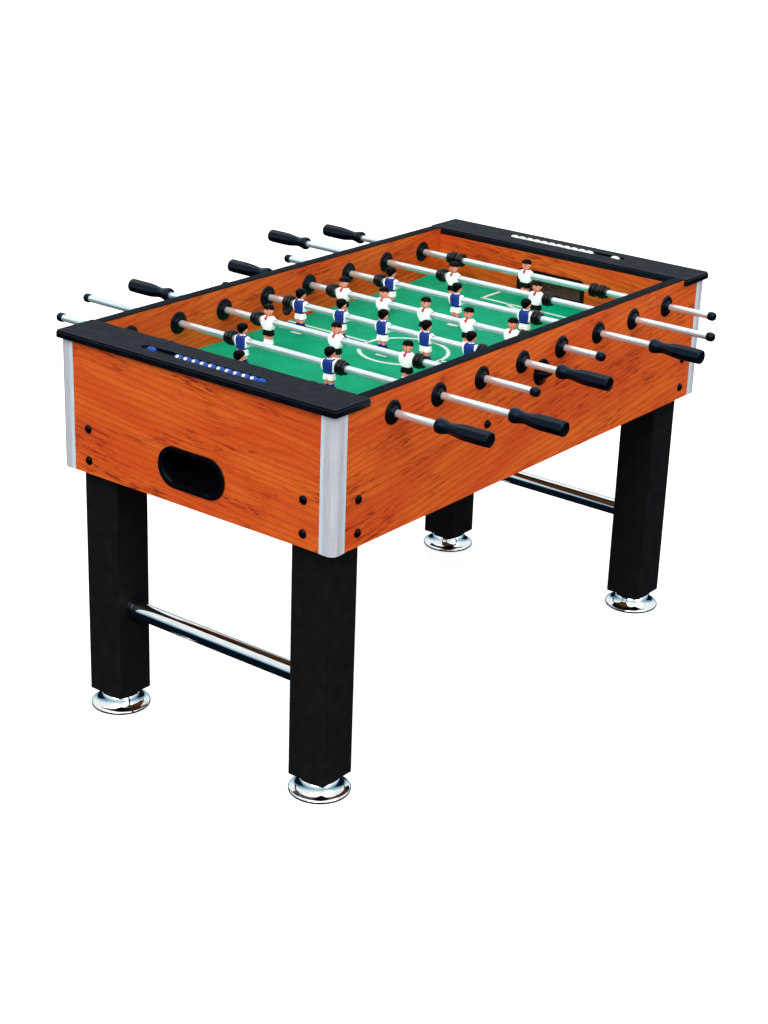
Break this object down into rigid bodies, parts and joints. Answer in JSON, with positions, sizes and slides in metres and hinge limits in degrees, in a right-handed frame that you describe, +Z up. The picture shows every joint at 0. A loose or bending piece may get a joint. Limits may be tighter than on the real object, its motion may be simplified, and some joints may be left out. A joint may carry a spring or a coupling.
{
  "type": "foosball table",
  "caption": "Table football game on four square legs: players on sliding, turning rods over a green field in a wood-grain cabinet with ball returns and bead scorers.",
  "frame": {"origin": "on the floor, under the middle of the table, midway between the four feet", "axes": "+X along the table towards the white goalkeeper's end, +Y across the table along the rods towards the white team's handles, +Z up"},
  "size_m": [1.422, 1.41, 0.8825],
  "materials": {
    "rod_steel": "polished",
    "player_blue": "painted moulded plastic",
    "player_white": "painted moulded plastic",
    "grip_black": "satin",
    "bumper_rubber": "satin",
    "chrome": "mirror bright",
    "cabinet_wood": "cherry grain laminate, satin",
    "field_green": "printed board, satin",
    "batten_wood": "raw",
    "board_black": "satin laminate",
    "trim_aluminium": "brushed",
    "leg_black": "satin laminate",
    "plastic_black": "satin",
    "screw_black": "black oxide",
    "bead_blue": "gloss",
    "bead_white": "gloss"
  },
  "bodies": {
    "root": {"side_panel_near": "cabinet_wood", "side_panel_far": "cabinet_wood", "end_panels": "cabinet_wood", "goal_walls": "cabinet_wood", "playfield": "field_green", "inner_battens": "batten_wood", "end_board_near": "board_black", "end_board_far": "board_black", "side_rails": "board_black", "corner_trims": "trim_aluminium", "legs": "leg_black", "cross_tubes": "chrome", "tube_sockets": "plastic_black", "rod_bushes": "plastic_black", "bush_nuts": "plastic_black", "ball_entry_cups": "plastic_black", "ball_return_cups": "plastic_black", "goal_liners": "plastic_black", "cabinet_screws": "screw_black", "scorer_wires": "rod_steel"},
    "rod_1_sleeves": {"rod_1_bumpers": "bumper_rubber"},
    "rod_1": {"rod_1_bar": "rod_steel", "rod_1_players": "player_blue", "rod_1_grips": "grip_black"},
    "rod_2_sleeves": {"rod_2_bumpers": "bumper_rubber"},
    "rod_2": {"rod_2_bar": "rod_steel", "rod_2_players": "player_blue", "rod_2_grips": "grip_black"},
    "rod_3_sleeves": {"rod_3_bumpers": "bumper_rubber"},
    "rod_3": {"rod_3_bar": "rod_steel", "rod_3_players": "player_white", "rod_3_grips": "grip_black"},
    "rod_4_sleeves": {"rod_4_bumpers": "bumper_rubber"},
    "rod_4": {"rod_4_bar": "rod_steel", "rod_4_players": "player_blue", "rod_4_grips": "grip_black"},
    "rod_5_sleeves": {"rod_5_bumpers": "bumper_rubber"},
    "rod_5": {"rod_5_bar": "rod_steel", "rod_5_players": "player_white", "rod_5_grips": "grip_black"},
    "rod_6_sleeves": {"rod_6_bumpers": "bumper_rubber"},
    "rod_6": {"rod_6_bar": "rod_steel", "rod_6_players": "player_blue", "rod_6_grips": "grip_black"},
    "rod_7_sleeves": {"rod_7_bumpers": "bumper_rubber"},
    "rod_7": {"rod_7_bar": "rod_steel", "rod_7_players": "player_white", "rod_7_grips": "grip_black"},
    "rod_8_sleeves": {"rod_8_bumpers": "bumper_rubber"},
    "rod_8": {"rod_8_bar": "rod_steel", "rod_8_players": "player_white", "rod_8_grips": "grip_black"},
    "scored_bead_near": {"scored_bead_near": "bead_blue"},
    "waiting_beads_near": {"waiting_beads_near": "bead_blue"},
    "scored_bead_far": {"scored_bead_far": "bead_white"},
    "waiting_beads_far": {"waiting_beads_far": "bead_white"},
    "leveler_near_left": {"leveler_near_left": "chrome"},
    "leveler_near_right": {"leveler_near_right": "chrome"},
    "leveler_far_left": {"leveler_far_left": "chrome"},
    "leveler_far_right": {"leveler_far_right": "chrome"}
  },
  "joints": [
    {"name": "rod_1_slide", "type": "slide", "parent": "root", "child": "rod_1_sleeves", "axis": [0, 1, 0], "range_m": [-0.13, 0.07]},
    {"name": "rod_1_spin", "type": "hinge", "parent": "rod_1_sleeves", "child": "rod_1", "pos_m": [-0.525, 0, 0.83], "axis": [0, 1, 0], "continuous": true},
    {"name": "rod_2_slide", "type": "slide", "parent": "root", "child": "rod_2_sleeves", "axis": [0, 1, 0], "range_m": [-0.202, 0.136]},
    {"name": "rod_2_spin", "type": "hinge", "parent": "rod_2_sleeves", "child": "rod_2", "pos_m": [-0.375, 0, 0.83], "axis": [0, 1, 0], "continuous": true},
    {"name": "rod_3_slide", "type": "slide", "parent": "root", "child": "rod_3_sleeves", "axis": [0, 1, 0], "range_m": [-0.1115, 0.0795]},
    {"name": "rod_3_spin", "type": "hinge", "parent": "rod_3_sleeves", "child": "rod_3", "pos_m": [-0.225, 0, 0.83], "axis": [0, 1, 0], "continuous": true},
    {"name": "rod_4_slide", "type": "slide", "parent": "root", "child": "rod_4_sleeves", "axis": [0, 1, 0], "range_m": [-0.0535, 0.0455]},
    {"name": "rod_4_spin", "type": "hinge", "parent": "rod_4_sleeves", "child": "rod_4", "pos_m": [-0.075, 0, 0.83], "axis": [0, 1, 0], "continuous": true},
    {"name": "rod_5_slide", "type": "slide", "parent": "root", "child": "rod_5_sleeves", "axis": [0, 1, 0], "range_m": [-0.0475, 0.0515]},
    {"name": "rod_5_spin", "type": "hinge", "parent": "rod_5_sleeves", "child": "rod_5", "pos_m": [0.075, 0, 0.83], "axis": [0, 1, 0], "continuous": true},
    {"name": "rod_6_slide", "type": "slide", "parent": "root", "child": "rod_6_sleeves", "axis": [0, 1, 0], "range_m": [-0.1145, 0.0765]},
    {"name": "rod_6_spin", "type": "hinge", "parent": "rod_6_sleeves", "child": "rod_6", "pos_m": [0.225, 0, 0.83], "axis": [0, 1, 0], "continuous": true},
    {"name": "rod_7_slide", "type": "slide", "parent": "root", "child": "rod_7_sleeves", "axis": [0, 1, 0], "range_m": [-0.184, 0.154]},
    {"name": "rod_7_spin", "type": "hinge", "parent": "rod_7_sleeves", "child": "rod_7", "pos_m": [0.375, 0, 0.83], "axis": [0, 1, 0], "continuous": true},
    {"name": "rod_8_slide", "type": "slide", "parent": "root", "child": "rod_8_sleeves", "axis": [0, 1, 0], "range_m": [-0.125, 0.075]},
    {"name": "rod_8_spin", "type": "hinge", "parent": "rod_8_sleeves", "child": "rod_8", "pos_m": [0.525, 0, 0.83], "axis": [0, 1, 0], "continuous": true},
    {"name": "scored_bead_near_slide", "type": "slide", "parent": "root", "child": "scored_bead_near", "axis": [0, 1, 0], "range_m": [-0.0265, 0.0135]},
    {"name": "waiting_beads_near_slide", "type": "slide", "parent": "root", "child": "waiting_beads_near", "axis": [0, 1, 0], "range_m": [0, 0.0265]},
    {"name": "scored_bead_far_slide", "type": "slide", "parent": "root", "child": "scored_bead_far", "axis": [0, 1, 0], "range_m": [-0.0135, 0.0265]},
    {"name": "waiting_beads_far_slide", "type": "slide", "parent": "root", "child": "waiting_beads_far", "axis": [0, 1, 0], "range_m": [-0.0265, 0]},
    {"name": "leveler_near_left_turn", "type": "hinge", "parent": "root", "child": "leveler_near_left", "pos_m": [-0.6265, 0.2935, 0], "axis": [0, 0, 1], "continuous": true},
    {"name": "leveler_near_right_turn", "type": "hinge", "parent": "root", "child": "leveler_near_right", "pos_m": [-0.6265, -0.2935, 0], "axis": [0, 0, 1], "continuous": true},
    {"name": "leveler_far_left_turn", "type": "hinge", "parent": "root", "child": "leveler_far_left", "pos_m": [0.6265, 0.2935, 0], "axis": [0, 0, 1], "continuous": true},
    {"name": "leveler_far_right_turn", "type": "hinge", "parent": "root", "child": "leveler_far_right", "pos_m": [0.6265, -0.2935, 0], "axis": [0, 0, 1], "continuous": true}
  ]
}
